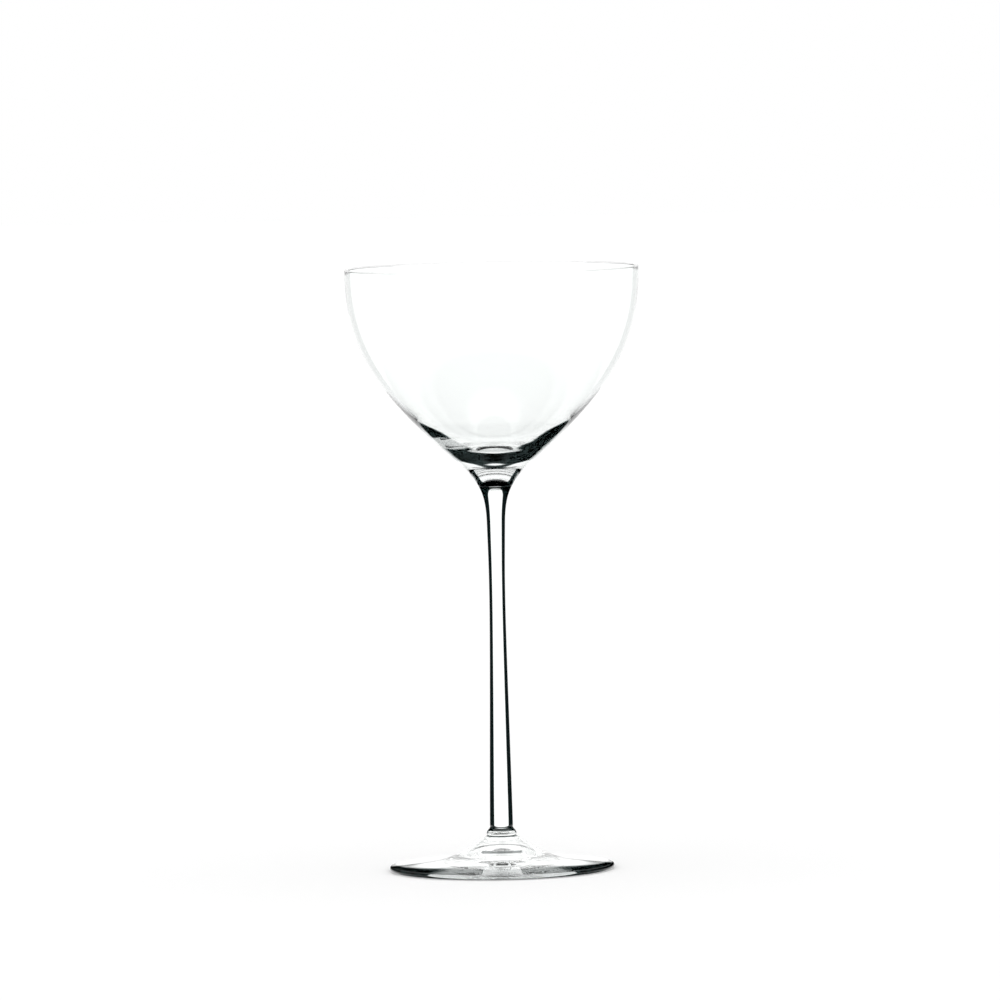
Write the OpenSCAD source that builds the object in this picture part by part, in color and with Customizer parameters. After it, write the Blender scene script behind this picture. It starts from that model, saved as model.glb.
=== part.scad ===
// Nick and nora glass: a small tulip bowl on a drawn stem, with a collar and a foot that is hollow below.
// The glass stands on the plane z = 0 and turns about the z axis. Lengths are in millimetres.

/* [Bowl] */
// Height of the bowl from its weld on the stem to the lip
bowl_height = 63.5; // [52:0.5:76]
// Radius of the bowl at the lip
lip_radius = 42.6; // [36:0.1:50]
// Thickness of the blown wall at the lip
lip_wall = 1; // [0.8:0.1:1.6]
// Radius of the bowl at the hip
hip_radius = 19.1; // [16:0.1:22]
// Height of the hip above the weld
hip_rise = 14.6; // [13:0.1:17]
// Height of the cavity's floor above the weld
floor_rise = 9; // [7.5:0.1:10]
// Distance up the wall from the hip to where the cavity turns into its floor
turn_reach = 5.3; // [3:0.1:8]
// Thickness of the wall at that turn
turn_wall = 1.4; // [1.1:0.1:2]
// Slope of the cavity at that turn
turn_slope = 42.4; // [41:0.1:43.5]
// Lean of the wall at the lip, from upright
lip_lean = 0.5; // [0:0.1:3]
// Slope of the bowl at the hip
hip_slope = 43.1; // [38:0.1:48]

/* [Stem] */
// Length of the stem from the collar to the weld under the bowl
stem_length = 99.3; // [70:0.1:120]
// Radius where the bowl is welded to the stem
weld_radius = 4.92; // [4:0.01:6]
// Slope of the outline at the weld
weld_slope = 61.7; // [56:0.1:68]
// Radius of the neck
neck_radius = 2.67; // [2.4:0.01:3]
// Depth of the neck below the weld
neck_drop = 10.5; // [8:0.1:14]
// Slope of the outline at the neck
neck_slope = 88.5; // [87:0.1:89.5]
// Radius of the stem at its waist
waist_radius = 2.33; // [2:0.01:2.6]
// Depth of the waist below the weld
waist_drop = 33.5; // [28:0.5:44]
// Radius of the stem where it meets the collar
shank_radius = 3.36; // [2.8:0.01:4]

/* [Collar] */
// Height of the collar
collar_height = 2.3; // [1.6:0.1:3.6]
// Radius of the collar at its bead
bead_radius = 4.35; // [4.3:0.05:5]
// Height of the bead above the foot
bead_rise = 0.4; // [0.3:0.1:1.2]
// Radius of the crease between the collar and the foot
crease_radius = 4.2; // [3.6:0.01:4.25]
// Slope of the outline as it tucks into the crease
crease_slope = 50; // [30:1:70]

/* [Foot] */
// Radius of the foot
foot_radius = 32.7; // [28:0.1:38]
// Thickness of the foot at its round edge
foot_edge = 1.3; // [1:0.1:2]
// Height of the hub, where the collar sits
hub_height = 9.9; // [8:0.1:13]
// Slope of the hub below the crease
hub_slope = 30; // [20:0.5:45]
// Radius where the hub runs out into the brim
brim_radius = 18; // [14:0.1:22]
// Height of the foot where the hub runs out
brim_height = 2.8; // [2.2:0.05:3.6]
// Slope of the foot where the hub runs out
brim_slope = 11.4; // [8:0.1:14]
// Slope of the foot near its edge
edge_slope = 3.5; // [2:0.1:5]
// Inner radius of the flat ring that the glass stands on
ring_radius = 13; // [10:0.5:18]
// Height of the hollow under the middle of the foot
kick_height = 3.6; // [1:0.1:4]

/* [Hidden] */
$fn = 96;

// Steps along each curve and round each nose, and the turns that the directions are counted in
curve_steps = 24;
nose_steps = 12;
quarter_turn = 90;
half_turn = 180;

// Reach of each curve's two handles, as shares of the straight line between its ends
cup_shares = [0.314, 0.469];
flare_shares = [0.6, 0.257];
side_shares = [0.33, 0.4];
floor_shares = [0.28, 0.52];
throat_shares = [0.169, 0.6];
taper_shares = [0.6, 0.3];
shank_shares = [0.213, 0.115];
collar_shares = [0.2, 0.5];
tuck_shares = [0.3, 0.3];
hub_shares = [0.17, 0.42];
brim_shares = [0.226, 0.256];
kick_shares = [0.4, 0.45];

// Heights, stacked from the table up
collar_z = hub_height;
shank_z = collar_z + collar_height;
weld_z = shank_z + stem_length;
lip_z = weld_z + bowl_height - lip_wall / 2;

// Corners of the outline, each a radius and a height
lip_out = [lip_radius, lip_z];
lip_in = [lip_radius - lip_wall, lip_z];
hip_out = [hip_radius, weld_z + hip_rise];
turn_in = along(along(hip_out, hip_slope, turn_reach), hip_slope + quarter_turn, turn_wall);
cavity_floor = [0, weld_z + floor_rise];
weld = [weld_radius, weld_z];
neck = [neck_radius, weld_z - neck_drop];
waist = [waist_radius, weld_z - waist_drop];
shank = [shank_radius, shank_z];
bead = [bead_radius, collar_z + bead_rise];
crease = [crease_radius, collar_z];
brim = [brim_radius, brim_height];
edge_top = [foot_radius - foot_edge / 2, foot_edge];
edge_foot = [foot_radius - foot_edge / 2, 0];
ring = [ring_radius, 0];
kick = [0, kick_height];

// A point at a distance from another, in a direction counted from the radius
function along(point, angle, reach) = point + reach * [cos(angle), sin(angle)];

// A point on a cubic curve
function cubic(a, b, c, d, t) =
    pow(1 - t, 3) * a + 3 * pow(1 - t, 2) * t * b + 3 * (1 - t) * pow(t, 2) * c + pow(t, 3) * d;

// A smooth curve that leaves one corner and reaches the next in the directions given
function curve(from, from_angle, to, to_angle, shares) =
    let (span = norm(to - from))
    let (b = along(from, from_angle, shares[0] * span))
    let (c = along(to, to_angle, shares[1] * span))
    [for (i = [0 : curve_steps]) cubic(from, b, c, to, i / curve_steps)];

// A round nose from one angle to another about a centre
function nose(centre, radius, first, last) =
    [for (i = [1 : nose_steps - 1]) along(centre, first + (last - first) * i / nose_steps, radius)];

// Outlines, each read down the outside
function cup_outside() = curve(lip_out, -quarter_turn + lip_lean, hip_out, hip_slope, cup_shares);
function flare_outside() = curve(hip_out, half_turn + hip_slope, weld, weld_slope, flare_shares);
function cavity() = concat(
    curve(cavity_floor, 0, turn_in, half_turn + turn_slope, floor_shares),
    curve(turn_in, turn_slope, lip_in, -quarter_turn + lip_lean, side_shares));
function throat() = curve(weld, half_turn + weld_slope, neck, neck_slope, throat_shares);
function taper() = curve(neck, half_turn + neck_slope, waist, quarter_turn, taper_shares);
function shaft() = curve(waist, -quarter_turn, shank, quarter_turn, shank_shares);
function collar_outside() = concat(
    curve(shank, -quarter_turn, bead, quarter_turn, collar_shares),
    curve(bead, -quarter_turn, crease, crease_slope, tuck_shares));
function foot_top() = concat(
    curve(crease, -hub_slope, brim, half_turn - brim_slope, hub_shares),
    curve(brim, -brim_slope, edge_top, half_turn - edge_slope, brim_shares));
function foot_hollow() = curve(ring, half_turn, kick, 0, kick_shares);

// The blown bowl, open at the top, with a round lip and a solid bottom that ends at the weld
module bowl() {
    color([0.86, 0.93, 0.91, 0.35])
    rotate_extrude()
    polygon(concat(
        cavity(),
        nose(along(lip_in, 0, lip_wall / 2), lip_wall / 2, half_turn, 0),
        cup_outside(),
        flare_outside(),
        [[0, weld_z]]));
}

// The solid stem, drawn thin at its waist
module stem() {
    color([0.80, 0.90, 0.88, 0.35])
    rotate_extrude()
    polygon(concat([[0, weld_z]], throat(), taper(), shaft(), [[0, shank_z]]));
}

// The small collar of glass between the stem and the foot
module stem_collar() {
    color([0.76, 0.87, 0.85, 0.35])
    rotate_extrude()
    polygon(concat([[0, shank_z]], collar_outside(), [[0, collar_z]]));
}

// The foot, a thin disc with a hub, a round edge and a hollow underside
module foot() {
    color([0.83, 0.91, 0.89, 0.35])
    rotate_extrude()
    polygon(concat(
        [[0, collar_z]],
        foot_top(),
        nose(along(edge_foot, quarter_turn, foot_edge / 2), foot_edge / 2, quarter_turn, -quarter_turn),
        [edge_foot],
        foot_hollow()));
}

bowl();
stem();
stem_collar();
foot();
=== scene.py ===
"""Dresses the nick and nora glass in clear glass, on a white floor in a white room.

The glass is a blown bowl, a drawn stem, its collar and a foot. Each is spun again in fine steps from the
sizes of its solid. Outlines and flanks are in millimetres, and the scene itself is in metres.
"""

import logging
import math
from dataclasses import dataclass, field
from enum import Enum

import bmesh
import bpy
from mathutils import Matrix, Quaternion, Vector
from mathutils.geometry import interpolate_bezier


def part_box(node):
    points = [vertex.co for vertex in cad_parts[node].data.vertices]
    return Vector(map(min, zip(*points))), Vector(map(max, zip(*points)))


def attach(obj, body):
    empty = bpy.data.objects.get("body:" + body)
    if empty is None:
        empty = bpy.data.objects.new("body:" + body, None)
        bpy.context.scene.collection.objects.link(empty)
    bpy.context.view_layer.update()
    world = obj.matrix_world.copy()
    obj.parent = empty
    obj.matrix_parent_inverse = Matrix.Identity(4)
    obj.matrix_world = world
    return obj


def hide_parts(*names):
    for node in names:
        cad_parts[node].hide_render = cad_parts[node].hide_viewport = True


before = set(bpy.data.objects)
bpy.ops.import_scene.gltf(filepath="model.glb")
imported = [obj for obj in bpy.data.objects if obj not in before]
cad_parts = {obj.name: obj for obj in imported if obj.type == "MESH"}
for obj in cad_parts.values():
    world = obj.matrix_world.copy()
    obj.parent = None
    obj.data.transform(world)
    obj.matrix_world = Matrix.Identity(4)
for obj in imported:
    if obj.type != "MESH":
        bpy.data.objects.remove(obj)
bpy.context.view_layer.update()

logger = logging.getLogger("nick_and_nora")

MM = 0.001
ROOT_BODY = "root"
SPIN_STEPS = 256
CURVE_STEPS = 40
NOSE_STEPS = 20
LIGHT_STEPS = 32
EYE_POWER = 2.2
RIM_SPREAD = 3.0
MIX_FIRST = 6
MIX_SECOND = 7
MIX_RESULT = 2
MERGE_REACH = 1e-7
CAP_REACH = 1e-5
QUARTER = 90.0
HALF = 180.0
BLACK = (0.0, 0.0, 0.0, 1.0)
WHITE = (1.0, 1.0, 1.0, 1.0)

Outline = list[Vector]
Shares = tuple[float, float]
Colour = tuple[float, float, float]
Spot = tuple[float, float, float]
Dots = tuple[tuple[float, float], ...]


class Part(Enum):
    """The four blown and drawn pieces, by the names of the solids that they stand for."""

    BOWL = "bowl"
    STEM = "stem"
    COLLAR = "stem_collar"
    FOOT = "foot"


class Side(Enum):
    """The sides of a piece of glass, by the slots of their finishes."""

    OUTER = 0
    SEAM = 1
    HOLLOW = 2
    LIP = 3


def top_of(part: Part) -> float:
    """Gives the height of a solid's top, in millimetres."""
    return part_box(part.value)[1].z / MM


def base_of(part: Part) -> float:
    """Gives the height of a solid's base, in millimetres."""
    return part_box(part.value)[0].z / MM


def radius_of(part: Part) -> float:
    """Gives a solid's largest radius, in millimetres."""
    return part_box(part.value)[1].x / MM


def along(point: Vector, angle: float, reach: float) -> Vector:
    """Steps from a point of the outline.

    Args:
        point: Where to start, as a radius and a height.
        angle: Direction in degrees, counted from the radius.
        reach: Distance to go.

    Returns:
        The point that is reached.
    """
    turn = math.radians(angle)
    return point + reach * Vector((math.cos(turn), math.sin(turn)))


def curve(start: Vector, leaving: float, end: Vector, arriving: float, shares: Shares) -> Outline:
    """Draws a smooth cubic curve between two corners of an outline.

    Args:
        start: First corner.
        leaving: Direction of the handle at the first corner, in degrees.
        end: Last corner.
        arriving: Direction of the handle at the last corner, in degrees.
        shares: Reach of the two handles, as shares of the straight line between the corners.

    Returns:
        The points of the curve, both corners included.
    """
    span = (end - start).length
    first = along(start, leaving, shares[0] * span)
    second = along(end, arriving, shares[1] * span)
    return interpolate_bezier(start, first, second, end, CURVE_STEPS + 1)


def nose(centre: Vector, radius: float, first: float, last: float) -> Outline:
    """Draws a round nose between two flanks.

    Args:
        centre: Centre of the round.
        radius: Its radius.
        first: Angle where it starts, in degrees.
        last: Angle where it ends, in degrees.

    Returns:
        The points between the two ends.
    """
    step = (last - first) / NOSE_STEPS
    return [along(centre, first + step * count, radius) for count in range(1, NOSE_STEPS)]


def joined(*runs: Outline) -> Outline:
    """Joins runs of points into one outline.

    Args:
        runs: Runs in order, where a run may start at the point on which the last one ended.

    Returns:
        One outline without doubled points.
    """
    outline: Outline = []
    for point in (point for run in runs for point in run):
        if not outline or (point - outline[-1]).length > MERGE_REACH / MM:
            outline.append(point)
    return outline


def placed(shell: bmesh.types.BMesh, name: str, mesh_name: str) -> bpy.types.Object:
    """Turns a finished shell into an object of the scene.

    Args:
        shell: The shell, which is freed.
        name: Name of the object.
        mesh_name: Name of its mesh.

    Returns:
        The object, which stands at the origin.
    """
    mesh = bpy.data.meshes.new(mesh_name)
    shell.to_mesh(mesh)
    shell.free()
    made = bpy.data.objects.new(name, mesh)
    bpy.context.scene.collection.objects.link(made)
    return made


def spun(part: Part, outline: Outline, seams: list[float], lip: float) -> bpy.types.Object:
    """Turns an outline about the upright axis into a closed piece with smooth walls.

    Args:
        part: The solid that the piece stands for.
        outline: Points from the axis round to the axis again, in millimetres.
        seams: Heights of the flat discs on which the piece is welded to its neighbours.
        lip: Height above which the piece is a fire-polished lip.

    Returns:
        The piece, with its place in its mesh.
    """
    shell = bmesh.new()
    dots = [shell.verts.new((point.x * MM, 0, point.y * MM)) for point in outline]
    lines = [shell.edges.new(pair) for pair in zip(dots, dots[1:])]
    bmesh.ops.spin(
        shell,
        geom=dots + lines,
        cent=(0, 0, 0),
        axis=(0, 0, 1),
        angle=math.tau,
        steps=SPIN_STEPS,
        use_merge=True,
    )
    bmesh.ops.remove_doubles(shell, verts=shell.verts, dist=MERGE_REACH)
    bmesh.ops.recalc_face_normals(shell, faces=shell.faces)
    for face in shell.faces:
        on_seam = any(all(abs(dot.co.z - seam * MM) < CAP_REACH for dot in face.verts) for seam in seams)
        middle = face.calc_center_median()
        inward = face.normal.to_2d().dot(middle.to_2d()) < 0
        side = Side.SEAM if on_seam else Side.HOLLOW if inward else Side.OUTER
        face.material_index = (Side.LIP if middle.z > lip * MM else side).value
        face.smooth = not on_seam
    return placed(shell, f"{part.value}_glass", f"{part.value}_mesh")


def socket(tree: bpy.types.NodeTree, kind: str, **settings: object) -> bpy.types.Node:
    """Adds a node to a tree.

    Args:
        tree: Tree of a material, a world or a group.
        kind: Type of the node.
        settings: Attributes to set on it.

    Returns:
        The new node.
    """
    node = tree.nodes.new(kind)
    for name, value in settings.items():
        setattr(node, name, value)
    return node


def feed(tree: bpy.types.NodeTree, target: bpy.types.NodeSocket, value: object) -> None:
    """Gives an input a link from another node, or a plain value.

    Args:
        tree: Tree that holds both.
        target: Input to feed.
        value: An output to link, or the value to write.
    """
    if isinstance(value, bpy.types.NodeSocket):
        tree.links.new(value, target)
    else:
        target.default_value = value


def reckon(tree: bpy.types.NodeTree, operation: str, *values: object) -> bpy.types.NodeSocket:
    """Adds one step of arithmetic.

    Args:
        tree: Tree to add it to.
        operation: Name of the Math node's operation.
        values: Its inputs, each an output of another node or a number.

    Returns:
        The result's socket.
    """
    node = socket(tree, "ShaderNodeMath", operation=operation)
    for target, value in zip(node.inputs, values):
        feed(tree, target, value)
    return node.outputs[0]


def ramp(
    tree: bpy.types.NodeTree,
    value: object,
    start: object,
    end: object,
    low: object = 0.0,
    high: object = 1.0,
) -> bpy.types.NodeSocket:
    """Eases from one value to another while an input goes from start to end.

    Args:
        tree: Tree to add it to.
        value: The input that runs.
        start: Where the change starts.
        end: Where it is over.
        low: Result before the start.
        high: Result past the end.

    Returns:
        The eased value's socket.
    """
    node = socket(tree, "ShaderNodeMapRange", interpolation_type="SMOOTHSTEP")
    for target, given in zip(node.inputs, (value, start, end, low, high)):
        feed(tree, target, given)
    return node.outputs[0]


def traced(tree: bpy.types.NodeTree, value: bpy.types.NodeSocket, dots: Dots) -> bpy.types.NodeSocket:
    """Reads a value off a given line of straight runs.

    Args:
        tree: Tree to add it to.
        value: The input.
        dots: Points of the line in order, each an input and its result from 0 to 1.

    Returns:
        The result's socket.
    """
    first, last = dots[0][0], dots[-1][0]
    share = reckon(tree, "DIVIDE", reckon(tree, "SUBTRACT", value, first), last - first)
    node = socket(tree, "ShaderNodeFloatCurve")
    line = node.mapping.curves[0]
    while len(line.points) < len(dots):
        line.points.new(0.5, 0.5)
    for point, (place, result) in zip(line.points, dots):
        point.location = ((place - first) / (last - first), result)
        point.handle_type = "VECTOR"
    node.mapping.update()
    feed(tree, node.inputs["Value"], share)
    return node.outputs[0]


def new_group(
    name: str, numbers: tuple[str, ...], colours: tuple[str, ...], result: tuple[str, str]
) -> bpy.types.NodeTree:
    """Starts a shader node group.

    Args:
        name: Name of the group.
        numbers: Names of its number inputs.
        colours: Names of its colour inputs.
        result: Name and socket type of its output.

    Returns:
        The group, with its sockets and nothing in it.
    """
    tree = bpy.data.node_groups.new(name, "ShaderNodeTree")
    for label in numbers:
        tree.interface.new_socket(name=label, in_out="INPUT", socket_type="NodeSocketFloat")
    for label in colours:
        tree.interface.new_socket(name=label, in_out="INPUT", socket_type="NodeSocketColor")
    tree.interface.new_socket(name=result[0], in_out="OUTPUT", socket_type=result[1])
    return tree


def painted_shade_mask() -> bpy.types.NodeTree:
    """Builds the group that masks the flanks of round glass, where shade is painted into the glass's colour
    in place of light bent away from the white.

    Returns:
        The group. Its mask is the painted shade from the start to the end facing value, and the rim's past
        the end.
    """
    name = "painted_shade_mask"
    if name in bpy.data.node_groups:
        return bpy.data.node_groups[name]
    numbers = ("Facing", "Inside", "Face", "Start", "End", "Softness", "Shade", "Rim")
    tree = new_group(name, numbers, (), ("Mask", "NodeSocketFloat"))
    given = socket(tree, "NodeGroupInput").outputs
    low = reckon(tree, "SUBTRACT", given["Start"], given["Softness"])
    high = reckon(tree, "ADD", given["Start"], given["Softness"])
    begun = ramp(tree, given["Facing"], low, high)
    past = reckon(tree, "MULTIPLY_ADD", given["Softness"], RIM_SPREAD, given["End"])
    shade = ramp(tree, given["Facing"], given["End"], past, given["Shade"], given["Rim"])
    outside = reckon(tree, "SUBTRACT", 1.0, given["Inside"])
    depth = reckon(tree, "SUBTRACT", shade, given["Face"])
    mask = reckon(tree, "MULTIPLY_ADD", begun, depth, given["Face"])
    feed(tree, socket(tree, "NodeGroupOutput").inputs["Mask"], reckon(tree, "MULTIPLY", mask, outside))
    return tree


def painted_shade_tint() -> bpy.types.NodeTree:
    """Builds the group that turns a mask and two tones, as the eye sees them, into the colour of glass, with
    shade painted where the mask is.

    Returns:
        The group. Light crosses a surface by the root of its colour, so a tone goes to twice the eye's
        power.
    """
    name = "painted_shade_tint"
    if name in bpy.data.node_groups:
        return bpy.data.node_groups[name]
    tree = new_group(name, ("Mask",), ("Clear", "PaintedShade"), ("Tint", "NodeSocketColor"))
    given = socket(tree, "NodeGroupInput").outputs
    blend = socket(tree, "ShaderNodeMix", data_type="RGBA")
    feed(tree, blend.inputs["Factor"], given["Mask"])
    feed(tree, blend.inputs[MIX_FIRST], given["Clear"])
    feed(tree, blend.inputs[MIX_SECOND], given["PaintedShade"])
    power = socket(tree, "ShaderNodeGamma")
    feed(tree, power.inputs["Color"], blend.outputs[MIX_RESULT])
    power.inputs["Gamma"].default_value = 2 * EYE_POWER
    feed(tree, socket(tree, "NodeGroupOutput").inputs["Tint"], power.outputs[0])
    return tree


@dataclass(frozen=True)
class WeldSeam:
    """The see-through finish of a disc on which two pieces of glass are fused."""

    name: str = "weld_seam"

    def material(self) -> bpy.types.Material:
        """Builds the material once.

        Returns:
            A material that lets all light through unbent.
        """
        if self.name in bpy.data.materials:
            return bpy.data.materials[self.name]
        made = bpy.data.materials.new(self.name)
        made.use_nodes = True
        made.node_tree.nodes["Principled BSDF"].inputs["Alpha"].default_value = 0.0
        return made


@dataclass(frozen=True)
class PaintedFlankShade:
    """Where shade is painted on the sides of a piece, by height in millimetres, or on the foot by radius.

    Attributes:
        face: Strength of the painted shade before the start.
        start: Facing value where the painted shade starts.
        end: Facing value where it ends.
        shade: Its strength.
        rim: Its strength past the end.
        softness: Half the width of its border, as a facing value.
    """

    face: Dots = ((0.0, 0.0), (1.0, 0.0))
    start: Dots = ((0.0, 1.0), (1.0, 1.0))
    end: Dots = ((0.0, 1.0), (1.0, 1.0))
    shade: Dots = ((0.0, 1.0), (1.0, 1.0))
    rim: Dots = ((0.0, 1.0), (1.0, 1.0))
    softness: float = 0.02


@dataclass(frozen=True)
class ClearGlass:
    """Clear soda glass with a faint green cast.

    Attributes:
        name: Name of the material.
        clear: Tone of the glass, as the eye sees it.
        index: Refractive index.
        body: How solid it looks, where 1 is solid.
    """

    name: str
    clear: Colour = (0.993, 0.998, 0.996)
    index: float = 1.52
    body: float = 1.0

    def material(self) -> bpy.types.Material:
        """Builds the material.

        Returns:
            The glass, for one piece.
        """
        made = bpy.data.materials.new(self.name)
        made.use_nodes = True
        shader = made.node_tree.nodes["Principled BSDF"]
        shader.inputs["Roughness"].default_value = 0.0
        shader.inputs["IOR"].default_value = self.index
        shader.inputs["Transmission Weight"].default_value = 1.0
        shader.inputs["Alpha"].default_value = self.body
        shader.inputs["Base Color"].default_value = (*self.clear, 1.0)
        self.tint(made.node_tree, shader.inputs["Base Color"])
        return made

    def tint(self, tree: bpy.types.NodeTree, colour: bpy.types.NodeSocket) -> None:
        """Leaves the colour plain, as it is on the lip, in the bowl and below the foot."""


@dataclass(frozen=True)
class ShadeGap:
    """A place where less shade is painted on the side of the glass, so that it stays paler there.

    Attributes:
        centre: Its middle, in millimetres.
        reach: Its size to each side, in millimetres.
        border: Shares of that size between which it fades out.
        depth: How much of the painted shade it takes away.
    """

    centre: Spot
    reach: Spot
    border: Shares = (0.8, 1.15)
    depth: float = 0.77


@dataclass(frozen=True)
class ShadePaintedGlass(ClearGlass):
    """Clear glass whose flanks go dark partly by really bending light away from the white behind, and partly
    by shade painted into its colour.

    Attributes:
        painted_flank_shade: Where shade is painted on the flanks.
        dark: Tone of the painted shade, as the eye sees it.
        shade_gaps: Where less shade is painted on the flanks.
    """

    painted_flank_shade: PaintedFlankShade = field(default_factory=PaintedFlankShade)
    # The tone of the shade painted on the flanks.
    dark: Colour = (0.085, 0.115, 0.115)
    shade_gaps: tuple[ShadeGap, ...] = ()

    def tint(self, tree: bpy.types.NodeTree, colour: bpy.types.NodeSocket) -> None:
        """Feeds the colour of the glass from the mask of its flanks, which paints shade on them.

        Args:
            tree: Tree of the material.
            colour: The shader's colour input.
        """
        tone = socket(tree, "ShaderNodeGroup", node_tree=painted_shade_tint())
        feed(tree, tone.inputs["Mask"], self.mask(tree))
        feed(tree, tone.inputs["Clear"], (*self.clear, 1.0))
        feed(tree, tone.inputs["PaintedShade"], (*self.dark, 1.0))
        feed(tree, colour, tone.outputs["Tint"])

    def mask(self, tree: bpy.types.NodeTree) -> bpy.types.NodeSocket:
        """Finds where shade is painted on the flanks.

        Args:
            tree: Tree of the material.

        Returns:
            The mask's socket.
        """
        place = self.place(tree)
        edge = socket(tree, "ShaderNodeGroup", node_tree=painted_shade_mask())
        feed(tree, edge.inputs["Facing"], socket(tree, "ShaderNodeLayerWeight").outputs["Facing"])
        feed(tree, edge.inputs["Inside"], socket(tree, "ShaderNodeNewGeometry").outputs["Backfacing"])
        feed(tree, edge.inputs["Softness"], self.painted_flank_shade.softness)
        for name in ("Face", "Start", "End", "Shade", "Rim"):
            feed(tree, edge.inputs[name], traced(tree, place, getattr(self.painted_flank_shade, name.lower())))
        mask = edge.outputs["Mask"]
        for spot in self.shade_gaps:
            mask = reckon(tree, "MULTIPLY", mask, self.gap_share(tree, spot))
        return mask

    def gap_share(self, tree: bpy.types.NodeTree, spot: ShadeGap) -> bpy.types.NodeSocket:
        """Finds how much of the painted shade a spot of weaker shade leaves.

        Args:
            tree: Tree of the material.
            spot: The spot of weaker painted shade.

        Returns:
            A socket that is 1 away from the spot.
        """
        steps = (
            ("SUBTRACT", tuple(part * MM for part in spot.centre)),
            ("DIVIDE", tuple(part * MM for part in spot.reach)),
            ("LENGTH", None),
        )
        value = socket(tree, "ShaderNodeTexCoord").outputs["Object"]
        for operation, amount in steps:
            node = socket(tree, "ShaderNodeVectorMath", operation=operation)
            feed(tree, node.inputs[0], value)
            if amount:
                node.inputs[1].default_value = amount
            value = node.outputs["Value" if operation == "LENGTH" else "Vector"]
        return ramp(tree, value, *spot.border, 1.0 - spot.depth, 1.0)

    def place(self, tree: bpy.types.NodeTree) -> bpy.types.NodeSocket:
        """Reads the height that the painted shade on the flanks goes by.

        Args:
            tree: Tree of the material.

        Returns:
            The height in millimetres.
        """
        place = socket(tree, "ShaderNodeSeparateXYZ")
        feed(tree, place.inputs[0], socket(tree, "ShaderNodeTexCoord").outputs["Object"])
        return reckon(tree, "DIVIDE", place.outputs["Z"], MM)


@dataclass(frozen=True)
class BrimShadePaintedGlass(ShadePaintedGlass):
    """The foot's glass, whose painted shade on the flanks goes by the distance from the axis, as its brim
    lies nearly flat.

    Attributes:
        slant: Facing value from which the painted shade is whole. It fades when the foot is seen more from
            above.
        slant_soft: How much lower a facing value ends the fade.
    """

    slant: Dots = (
        (0.0, 0.38), (4.5, 0.38), (11.0, 0.45), (22.0, 0.66), (31.9, 0.7), (32.1, 0.0), (33.0, 0.0),
    )
    slant_soft: float = 0.2

    def mask(self, tree: bpy.types.NodeTree) -> bpy.types.NodeSocket:
        """Finds where shade is painted on the flanks, which fades when the foot is seen from above.

        Args:
            tree: Tree of the material.

        Returns:
            The mask's socket.
        """
        slant = traced(tree, self.place(tree), self.slant)
        past = reckon(tree, "SUBTRACT", socket(tree, "ShaderNodeLayerWeight").outputs["Facing"], slant)
        return reckon(tree, "MULTIPLY", super().mask(tree), ramp(tree, past, -self.slant_soft, 0.0))

    def place(self, tree: bpy.types.NodeTree) -> bpy.types.NodeSocket:
        """Reads the distance from the axis.

        Args:
            tree: Tree of the material.

        Returns:
            The distance in millimetres.
        """
        flat = socket(tree, "ShaderNodeVectorMath", operation="MULTIPLY")
        feed(tree, flat.inputs[0], socket(tree, "ShaderNodeTexCoord").outputs["Object"])
        flat.inputs[1].default_value = (1 / MM, 1 / MM, 0.0)
        reach = socket(tree, "ShaderNodeVectorMath", operation="LENGTH")
        feed(tree, reach.inputs[0], flat.outputs[0])
        return reach.outputs["Value"]


# Where shade is painted on the flanks of the four pieces. Each pair is a height in millimetres, or on the
# foot a radius, and a facing value or a strength from 0 to 1.
BOWL_PAINTED_SHADE = PaintedFlankShade(
    face=(
        (111.5, 0.0), (122.0, 0.0), (122.2, 0.2), (122.8, 0.2), (123.0, 0.03), (130.0, 0.03), (131.5, 0.0),
        (175.0, 0.0),
    ),
    start=(
        (111.5, 0.08), (112.5, 0.2), (112.9, 0.4), (113.5, 0.45), (114.5, 0.48), (115.5, 0.53),
        (116.5, 0.54), (116.8, 0.29), (117.4, 0.31), (118.2, 0.39), (119.0, 0.345), (120.0, 0.34),
        (121.0, 0.34), (121.8, 0.38), (122.3, 0.475), (123.0, 0.43), (124.0, 0.45), (125.0, 0.51),
        (127.0, 0.54), (128.0, 0.565), (129.0, 0.605), (130.0, 0.67), (131.0, 0.71), (134.0, 0.71),
        (175.0, 0.72),
    ),
    end=(
        (111.5, 1.0), (112.5, 0.75), (113.0, 0.63), (115.5, 0.66), (116.6, 0.7), (116.9, 0.34),
        (117.5, 0.36), (118.3, 0.44), (118.8, 0.58), (119.2, 0.67), (120.5, 0.71), (123.0, 0.72),
        (125.0, 0.745), (127.0, 0.77), (129.0, 0.79), (130.0, 0.81), (131.0, 0.82), (134.0, 0.84),
        (175.0, 0.86),
    ),
    shade=(
        (111.5, 1.0), (114.0, 0.9), (115.5, 0.85), (116.5, 0.8), (116.7, 0.0), (117.0, 0.9),
        (130.0, 0.95), (130.7, 0.35), (131.1, 0.0), (136.0, 0.02), (139.0, 0.12), (145.0, 0.16),
        (175.0, 0.16),
    ),
    rim=(
        (111.5, 0.8), (112.8, 0.35), (115.5, 0.15), (116.7, 0.0), (118.8, 0.0), (119.5, 0.28),
        (124.0, 0.28), (127.0, 0.33), (129.5, 0.3), (130.5, 0.1), (131.2, 0.0), (145.0, 0.05),
        (175.0, 0.05),
    ),
)
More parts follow.
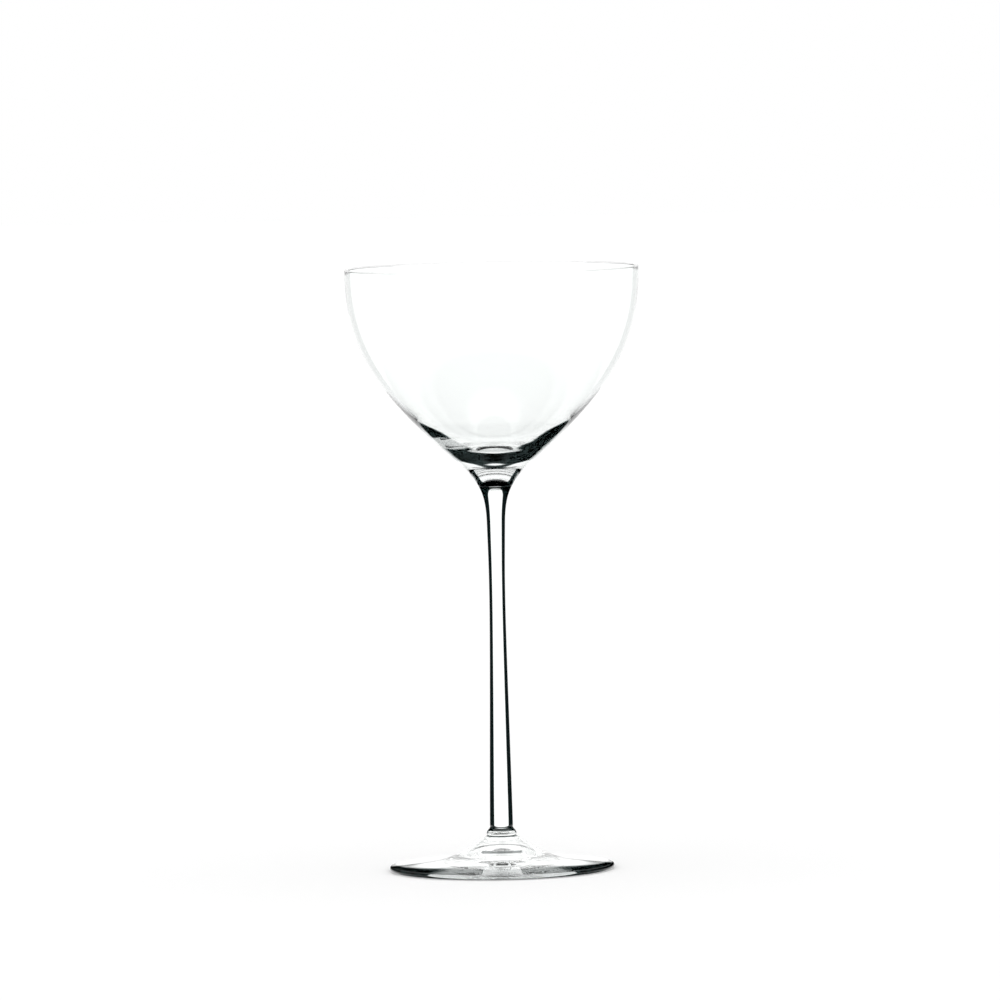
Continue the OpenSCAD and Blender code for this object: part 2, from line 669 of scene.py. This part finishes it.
# A spot on the bowl's left where less shade is painted.
LEFT_SHADE_GAP = ShadeGap(centre=(-14.0, -11.0, 124.6), reach=(9.5, 9.5, 1.9))
STEM_PAINTED_SHADE = PaintedFlankShade(
    start=((12.2, 0.22), (103.0, 0.22), (109.0, 0.24), (110.7, 0.2), (111.1, 0.08), (111.5, 0.08)),
    shade=((12.2, 1.0), (111.5, 1.0)),
)
COLLAR_PAINTED_SHADE = PaintedFlankShade(
    face=((9.9, 0.0), (11.15, 0.0), (11.3, 0.8), (11.65, 0.8), (11.8, 0.3), (12.2, 0.2)),
    start=((9.9, 0.8), (10.2, 0.8), (10.4, 0.62), (11.1, 0.58), (11.4, 0.2), (12.2, 0.16)),
    shade=((9.9, 0.85), (10.2, 0.6), (11.0, 0.6), (11.3, 0.95), (12.2, 1.0)),
)
FOOT_PAINTED_SHADE = PaintedFlankShade(
    face=(
        (4.0, 0.75), (4.6, 0.75), (4.9, 0.0), (9.9, 0.0), (10.3, 0.5), (10.9, 0.5), (11.3, 0.0),
        (22.3, 0.0), (24.5, 0.3), (31.9, 0.3), (32.2, 0.2), (32.7, 0.2),
    ),
    start=(
        (4.0, 0.84), (8.9, 0.84), (9.2, 0.49), (11.2, 0.51), (11.6, 0.84), (17.0, 0.84), (22.0, 0.81),
        (24.0, 0.82), (26.0, 0.828), (28.0, 0.835), (30.0, 0.842), (31.95, 0.852), (32.05, 0.8),
        (32.375, 0.53), (32.6, 0.3), (32.7, 0.24),
    ),
    end=(
        (4.0, 0.84), (18.0, 0.7), (22.0, 0.76), (23.0, 0.8), (24.0, 0.82), (25.5, 0.838), (27.0, 0.854),
        (28.5, 0.868), (30.0, 0.886), (31.0, 0.895), (32.1, 0.905), (32.4, 0.92), (32.7, 1.0),
    ),
    shade=((4.0, 0.0), (22.0, 0.0), (25.0, 0.6), (27.0, 0.8), (28.5, 0.97), (32.7, 0.97)),
    rim=((4.0, 0.0), (32.7, 0.0)),
    softness=0.006,
)


@dataclass
class GlassPiece:
    """What the four pieces share: they are spun, welded on flat seams and made of one glass.

    Attributes:
        part: The solid that the piece stands for.
        glass: Its finish.
        hollow_body: How solid the glass looks on the sides that face the axis.
        lip_body: How solid it looks on its lip.
    """

    part: Part
    glass: ClearGlass
    hollow_body: float = 1.0
    lip_body: float = 0.15

    def outline(self) -> Outline:
        """Draws the outline from the axis round to the axis again."""
        raise NotImplementedError

    def seams(self) -> list[float]:
        """Gives the heights of the welds."""
        raise NotImplementedError

    def lip(self) -> float:
        """Gives the height where a lip starts, which only the bowl has."""
        return math.inf

    def build(self) -> bpy.types.Object:
        """Builds the piece, dresses it and puts it in the solid's place.

        Returns:
            The finished piece.
        """
        piece = spun(self.part, self.outline(), self.seams(), self.lip())
        hollow = ClearGlass(f"{self.part.value}_hollow_glass", body=self.hollow_body)
        polished = ClearGlass(f"{self.part.value}_lip_glass", body=self.lip_body)
        for finish in (self.glass, WeldSeam(), hollow, polished):
            piece.data.materials.append(finish.material())
        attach(piece, ROOT_BODY)
        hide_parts(self.part.value)
        logger.info("%s: %d faces", piece.name, len(piece.data.polygons))
        return piece


@dataclass
class Bowl(GlassPiece):
    """The blown tulip bowl, with a round lip, a rounded cavity and a solid bottom, in millimetres."""

    part: Part = Part.BOWL
    glass: ClearGlass = field(
        default_factory=lambda: ShadePaintedGlass("bowl_glass", painted_flank_shade=BOWL_PAINTED_SHADE, shade_gaps=(LEFT_SHADE_GAP,))
    )
    lip_wall: float = 1.0
    lip_lean: float = 0.5
    hip_radius: float = 19.1
    hip_rise: float = 14.6
    hip_slope: float = 43.1
    floor_rise: float = 9.0
    turn_reach: float = 5.3
    turn_wall: float = 1.4
    turn_slope: float = 42.4
    weld_radius: float = 4.92
    weld_slope: float = 61.7
    cup_shares: Shares = (0.314, 0.469)
    flare_shares: Shares = (0.6, 0.257)
    side_shares: Shares = (0.33, 0.4)
    floor_shares: Shares = (0.28, 0.52)

    def seams(self) -> list[float]:
        """Gives the height of the weld on the stem."""
        return [base_of(self.part)]

    def lip(self) -> float:
        """Gives the height where the wall ends and its round lip starts."""
        return top_of(self.part) - self.lip_wall / 2

    def outline(self) -> Outline:
        """Draws the cavity, the lip and the outside.

        Returns:
            The bowl's outline.
        """
        weld_z = base_of(self.part)
        lip_out = Vector((radius_of(self.part), self.lip()))
        lip_in = lip_out - Vector((self.lip_wall, 0.0))
        hip = Vector((self.hip_radius, weld_z + self.hip_rise))
        inside = self.hip_slope + QUARTER
        turn = along(along(hip, self.hip_slope, self.turn_reach), inside, self.turn_wall)
        cavity_floor = Vector((0.0, weld_z + self.floor_rise))
        weld = Vector((self.weld_radius, weld_z))
        rising = -QUARTER + self.lip_lean
        return joined(
            curve(cavity_floor, 0.0, turn, HALF + self.turn_slope, self.floor_shares),
            curve(turn, self.turn_slope, lip_in, rising, self.side_shares),
            nose((lip_in + lip_out) / 2, self.lip_wall / 2, HALF, 0.0),
            curve(lip_out, rising, hip, self.hip_slope, self.cup_shares),
            curve(hip, HALF + self.hip_slope, weld, self.weld_slope, self.flare_shares),
            [Vector((0.0, weld_z))],
        )


@dataclass
class Stem(GlassPiece):
    """The solid drawn stem, flared into the bowl and thin at its waist, in millimetres."""

    part: Part = Part.STEM
    glass: ClearGlass = field(default_factory=lambda: ShadePaintedGlass("stem_glass", painted_flank_shade=STEM_PAINTED_SHADE))
    weld_radius: float = 4.92
    weld_slope: float = 61.7
    neck_radius: float = 2.67
    neck_drop: float = 10.5
    neck_slope: float = 88.5
    waist_radius: float = 2.33
    waist_drop: float = 33.5
    shank_radius: float = 3.36
    throat_shares: Shares = (0.169, 0.6)
    taper_shares: Shares = (0.6, 0.3)
    shank_shares: Shares = (0.213, 0.115)

    def seams(self) -> list[float]:
        """Gives the heights of the welds on the bowl and on the collar."""
        return [base_of(self.part), top_of(self.part)]

    def outline(self) -> Outline:
        """Draws the stem from its weld down to the collar.

        Returns:
            The stem's outline.
        """
        weld_z = top_of(self.part)
        weld = Vector((self.weld_radius, weld_z))
        neck = Vector((self.neck_radius, weld_z - self.neck_drop))
        waist = Vector((self.waist_radius, weld_z - self.waist_drop))
        shank = Vector((self.shank_radius, base_of(self.part)))
        return joined(
            [Vector((0.0, weld_z))],
            curve(weld, HALF + self.weld_slope, neck, self.neck_slope, self.throat_shares),
            curve(neck, HALF + self.neck_slope, waist, QUARTER, self.taper_shares),
            curve(waist, -QUARTER, shank, QUARTER, self.shank_shares),
            [Vector((0.0, shank.y))],
        )


@dataclass
class StemCollar(GlassPiece):
    """The small bead of glass between the stem and the foot, in millimetres."""

    part: Part = Part.COLLAR
    glass: ClearGlass = field(default_factory=lambda: ShadePaintedGlass("collar_glass", painted_flank_shade=COLLAR_PAINTED_SHADE))
    shank_radius: float = 3.36
    bead_rise: float = 0.4
    crease_radius: float = 4.2
    crease_slope: float = 50.0
    collar_shares: Shares = (0.2, 0.5)
    tuck_shares: Shares = (0.3, 0.3)

    def seams(self) -> list[float]:
        """Gives the heights of the welds on the stem and on the foot."""
        return [base_of(self.part), top_of(self.part)]

    def outline(self) -> Outline:
        """Draws the bead from the stem down to the crease on the foot.

        Returns:
            The collar's outline.
        """
        shank = Vector((self.shank_radius, top_of(self.part)))
        bead = Vector((radius_of(self.part), base_of(self.part) + self.bead_rise))
        crease = Vector((self.crease_radius, base_of(self.part)))
        return joined(
            [Vector((0.0, shank.y))],
            curve(shank, -QUARTER, bead, QUARTER, self.collar_shares),
            curve(bead, -QUARTER, crease, self.crease_slope, self.tuck_shares),
            [Vector((0.0, crease.y))],
        )


@dataclass
class Foot(GlassPiece):
    """The thin round foot, with a hub, a round edge and a hollow underside, in millimetres."""

    part: Part = Part.FOOT
    glass: ClearGlass = field(default_factory=lambda: BrimShadePaintedGlass("foot_glass", painted_flank_shade=FOOT_PAINTED_SHADE))
    hollow_body: float = 0.7
    foot_edge: float = 1.3
    crease_radius: float = 4.2
    hub_slope: float = 30.0
    brim_radius: float = 18.0
    brim_height: float = 2.8
    brim_slope: float = 11.4
    edge_slope: float = 3.5
    ring_radius: float = 13.0
    kick_height: float = 3.6
    hub_shares: Shares = (0.17, 0.42)
    brim_shares: Shares = (0.226, 0.256)
    kick_shares: Shares = (0.4, 0.45)

    def seams(self) -> list[float]:
        """Gives the height of the weld on the collar."""
        return [top_of(self.part)]

    def outline(self) -> Outline:
        """Draws the hub, the brim, the round edge and the hollow below.

        Returns:
            The foot's outline.
        """
        table_z = base_of(self.part)
        crease = Vector((self.crease_radius, top_of(self.part)))
        brim = Vector((self.brim_radius, table_z + self.brim_height))
        edge = self.foot_edge / 2
        edge_centre = Vector((radius_of(self.part) - edge, table_z + edge))
        edge_top = along(edge_centre, QUARTER, edge)
        ring = Vector((self.ring_radius, table_z))
        kick = Vector((0.0, table_z + self.kick_height))
        return joined(
            [Vector((0.0, crease.y))],
            curve(crease, -self.hub_slope, brim, HALF - self.brim_slope, self.hub_shares),
            curve(brim, -self.brim_slope, edge_top, HALF - self.edge_slope, self.brim_shares),
            nose(edge_centre, edge, QUARTER, -QUARTER),
            [along(edge_centre, -QUARTER, edge)],
            curve(ring, HALF, kick, 0.0, self.kick_shares),
        )


@dataclass(frozen=True)
class WhiteRoom:
    """The pale studio: a white floor and a white surround, with the dark parts that draw glass.

    The camera and matt surfaces see a plain white room. Light that last crossed glass sees a white wall that
    is dark overhead. Light that glass last mirrored sees white with a narrow dark strip straight behind the
    glass and a dark part below, and a dark sleeve that hangs round the stem and is open at the back.

    Attributes:
        floor_side: Side of the floor, in metres.
        floor_drop: Gap between the foot and the floor, in metres.
        floor_colour: Colour of the floor.
        floor_lift: Light that the floor gives off to the camera, to join it with the white behind.
        wall_low: Lowest elevation of the wall, in degrees, for light that was mirrored on its way.
        wall_high: Its highest elevation, in degrees.
        wall_soft: Width of its soft borders, and of the dark part's, in degrees.
        wall_light: Strength of the wall.
        mirror_dark: Lowest and highest elevation of the dark part below, in degrees.
        strip_rise: Lowest and highest elevation of the dark strip, in degrees.
        strip_half: Half its width at its foot and at its top, as shares of its distance.
        strip_border: Shares of that half width between which its sides fade out.
        strip_soft: Width of the soft borders at its two ends, in degrees.
        sleeve_radius: Radius of the dark sleeve, in metres.
        sleeve_span: Heights of its two ends, in metres.
        sleeve_gap: Half the angle over which it is open behind the glass, in degrees.
    """

    floor_side: float = 12.0
    floor_drop: float = 0.0002
    floor_colour: Colour = (0.93, 0.93, 0.93)
    floor_lift: float = 0.1
    wall_low: float = -45.0
    wall_high: float = 50.0
    wall_soft: float = 6.0
    wall_light: float = 1.17
    mirror_dark: Shares = (-70.0, -21.0)
    strip_rise: Shares = (5.5, 20.5)
    strip_half: Shares = (0.031, 0.0365)
    strip_border: Shares = (0.93, 1.07)
    strip_soft: float = 0.6
    sleeve_radius: float = 0.08
    sleeve_span: Shares = (0.0045, 0.0985)
    sleeve_gap: float = 25.5

    def build(self) -> None:
        """Builds the floor, the sleeve and the surround."""
        self.lay_floor()
        self.hang_sleeve()
        self.light()

    def lay_floor(self) -> None:
        """Lays the floor, which glass doesn't see, so that the white behind shows through it."""
        slab = bmesh.new()
        bmesh.ops.create_grid(slab, x_segments=1, y_segments=1, size=self.floor_side / 2)
        bmesh.ops.translate(slab, verts=slab.verts, vec=(0, 0, -self.floor_drop))
        floor = placed(slab, "studio_floor", "floor_mesh")
        floor.visible_transmission = False
        floor.visible_glossy = False
        floor.data.materials.append(self.floor_material())

    def hang_sleeve(self) -> None:
        """Hangs a dark sleeve round the stem, seen only in mirror images, which darkens the stem's edges."""
        low, high = self.sleeve_span
        tube = bmesh.new()
        bmesh.ops.create_cone(
            tube,
            cap_ends=False,
            segments=SPIN_STEPS,
            radius1=self.sleeve_radius,
            radius2=self.sleeve_radius,
            depth=high - low,
        )
        reach = self.sleeve_radius * math.cos(math.radians(self.sleeve_gap))
        behind = [face for face in tube.faces if face.calc_center_median().y > reach]
        bmesh.ops.delete(tube, geom=behind, context="FACES")
        bmesh.ops.translate(tube, verts=tube.verts, vec=(0, 0, (low + high) / 2))
        sleeve = placed(tube, "mirror_sleeve", "sleeve_mesh")
        for ray in ("camera", "diffuse", "transmission", "shadow", "volume_scatter"):
            setattr(sleeve, f"visible_{ray}", False)
        sleeve.data.materials.append(self.felt_material())

    def felt_material(self) -> bpy.types.Material:
        """Builds the sleeve's matt black.

        Returns:
            The sleeve's material.
        """
        made = bpy.data.materials.new("black_felt")
        made.use_nodes = True
        shader = made.node_tree.nodes["Principled BSDF"]
        shader.inputs["Base Color"].default_value = BLACK
        shader.inputs["Specular IOR Level"].default_value = 0.0
        return made

    def floor_material(self) -> bpy.types.Material:
        """Builds the floor's matt white.

        Returns:
            The floor's material.
        """
        made = bpy.data.materials.new("white_floor")
        made.use_nodes = True
        tree = made.node_tree
        shader = tree.nodes["Principled BSDF"]
        shader.inputs["Roughness"].default_value = 1.0
        shader.inputs["Specular IOR Level"].default_value = 0.0
        shader.inputs["Base Color"].default_value = (*self.floor_colour, 1.0)
        shader.inputs["Emission Color"].default_value = WHITE
        ray = socket(tree, "ShaderNodeLightPath")
        lift = reckon(tree, "MULTIPLY", ray.outputs["Is Camera Ray"], self.floor_lift)
        feed(tree, shader.inputs["Emission Strength"], lift)
        return made

    def light(self) -> None:
        """Lights the room evenly, and shows glass the wall, the strip and the dark part below."""
        world = bpy.data.worlds.new("white_room")
        bpy.context.scene.world = world
        world.use_nodes = True
        tree = world.node_tree
        place = socket(tree, "ShaderNodeSeparateXYZ")
        feed(tree, place.inputs[0], socket(tree, "ShaderNodeTexCoord").outputs["Generated"])
        rise = reckon(tree, "DEGREES", reckon(tree, "ARCSINE", place.outputs["Z"]))
        ray = socket(tree, "ShaderNodeLightPath").outputs
        through = ray["Is Transmission Ray"]
        mirrored = reckon(tree, "SUBTRACT", ray["Is Reflection Ray"], ray["Is Diffuse Ray"])
        other = reckon(tree, "SUBTRACT", reckon(tree, "SUBTRACT", 1.0, through), mirrored)
        wall = self.wall(tree, rise, ray["Glossy Depth"])
        image = reckon(tree, "MULTIPLY", self.strip(tree, place, rise), self.below(tree, rise))
        seen = reckon(tree, "MULTIPLY_ADD", wall, through, reckon(tree, "MULTIPLY", image, mirrored))
        background = tree.nodes["Background"]
        background.inputs["Color"].default_value = WHITE
        strength = reckon(tree, "ADD", seen, reckon(tree, "MAXIMUM", other, 0.0))
        feed(tree, background.inputs["Strength"], strength)

    def wall(
        self, tree: bpy.types.NodeTree, rise: bpy.types.NodeSocket, mirrorings: bpy.types.NodeSocket
    ) -> bpy.types.NodeSocket:
        """Draws the white wall that light sees when it has crossed glass.

        Args:
            tree: Tree of the world.
            rise: Elevation of the ray, in degrees.
            mirrorings: How often the light was mirrored on its way.

        Returns:
            The strength of the white.
        """
        half = self.wall_soft / 2
        low = ramp(tree, rise, self.wall_low - half, self.wall_low + half)
        high = ramp(tree, rise, self.wall_high + half, self.wall_high - half)
        straight = reckon(tree, "LESS_THAN", mirrorings, 0.5)
        white = reckon(tree, "MULTIPLY", reckon(tree, "MAXIMUM", low, straight), high)
        return reckon(tree, "MULTIPLY", white, self.wall_light)

    def strip(
        self, tree: bpy.types.NodeTree, place: bpy.types.Node, rise: bpy.types.NodeSocket
    ) -> bpy.types.NodeSocket:
        """Draws the dark strip straight behind the glass.

        Args:
            tree: Tree of the world.
            place: Node that gives the direction of the ray.
            rise: Its elevation, in degrees.

        Returns:
            A socket that is 0 on the strip and 1 away from it.
        """
        low, high = self.strip_rise
        under = ramp(tree, rise, low + self.strip_soft, low)
        over = ramp(tree, rise, high, high + self.strip_soft)
        half = ramp(tree, rise, low, high, *self.strip_half)
        across = reckon(tree, "ABSOLUTE", place.outputs["X"])
        aside = ramp(tree, reckon(tree, "DIVIDE", across, half), *self.strip_border)
        before = reckon(tree, "LESS_THAN", place.outputs["Y"], 0.0)
        ends = reckon(tree, "MAXIMUM", under, over)
        return reckon(tree, "MAXIMUM", ends, reckon(tree, "MAXIMUM", aside, before))

    def below(self, tree: bpy.types.NodeTree, rise: bpy.types.NodeSocket) -> bpy.types.NodeSocket:
        """Draws the dark part that glass mirrors from below.

        Args:
            tree: Tree of the world.
            rise: Elevation of the ray, in degrees.

        Returns:
            A socket that is 0 in the dark and 1 away from it.
        """
        low, high = self.mirror_dark
        deep = ramp(tree, rise, low, low - self.wall_soft)
        level = ramp(tree, rise, high - self.wall_soft, high)
        return reckon(tree, "MAXIMUM", deep, level)


@dataclass(frozen=True)
class PhotoCamera:
    """The camera at the photograph's viewing angle.

    Attributes:
        distance: Distance in front of the glass, in metres.
        height: Height above the table, in metres.
        aim: Point that it looks at, in metres.
        roll: Lean of the picture, in degrees.
        picture: Width of the picture at the glass, in metres.
        sensor: Width of the sensor, in millimetres.
        sight: How far it sees, in distances of the glass.
    """

    distance: float = 2.71
    height: float = 0.275
    aim: Spot = (0.0013, 0.0, 0.1073)
    roll: float = 1.05
    picture: float = 0.29
    sensor: float = 36.0
    sight: float = 4.0

    def build(self) -> None:
        """Builds the camera and makes it the scene's own."""
        lens = bpy.data.cameras.new("photo_camera")
        camera = bpy.data.objects.new("photo_camera", lens)
        bpy.context.scene.collection.objects.link(camera)
        bpy.context.scene.camera = camera
        camera.location = (0.0, -self.distance, self.height)
        line = Vector(self.aim) - camera.location
        camera.rotation_mode = "QUATERNION"
        lean = Quaternion((0, 0, 1), -math.radians(self.roll))
        camera.rotation_quaternion = line.to_track_quat("-Z", "Y") @ lean
        lens.sensor_width = self.sensor
        lens.lens = self.sensor * line.length / self.picture
        lens.clip_end = self.sight * line.length


def set_view() -> None:
    """Keeps the colours plain and lets light cross as many walls of glass as there are."""
    scene = bpy.context.scene
    scene.view_settings.view_transform = "Standard"
    scene.cycles.max_bounces = LIGHT_STEPS
    scene.cycles.transmission_bounces = LIGHT_STEPS
    scene.cycles.glossy_bounces = LIGHT_STEPS
    scene.cycles.transparent_max_bounces = LIGHT_STEPS


def main() -> None:
    """Builds the glass, the room and the camera."""
    logging.basicConfig(level=logging.INFO, format="%(message)s")
    set_view()
    for piece in (Bowl(), Stem(), StemCollar(), Foot()):
        piece.build()
    WhiteRoom().build()
    PhotoCamera().build()


if __name__ == "__main__":
    main()
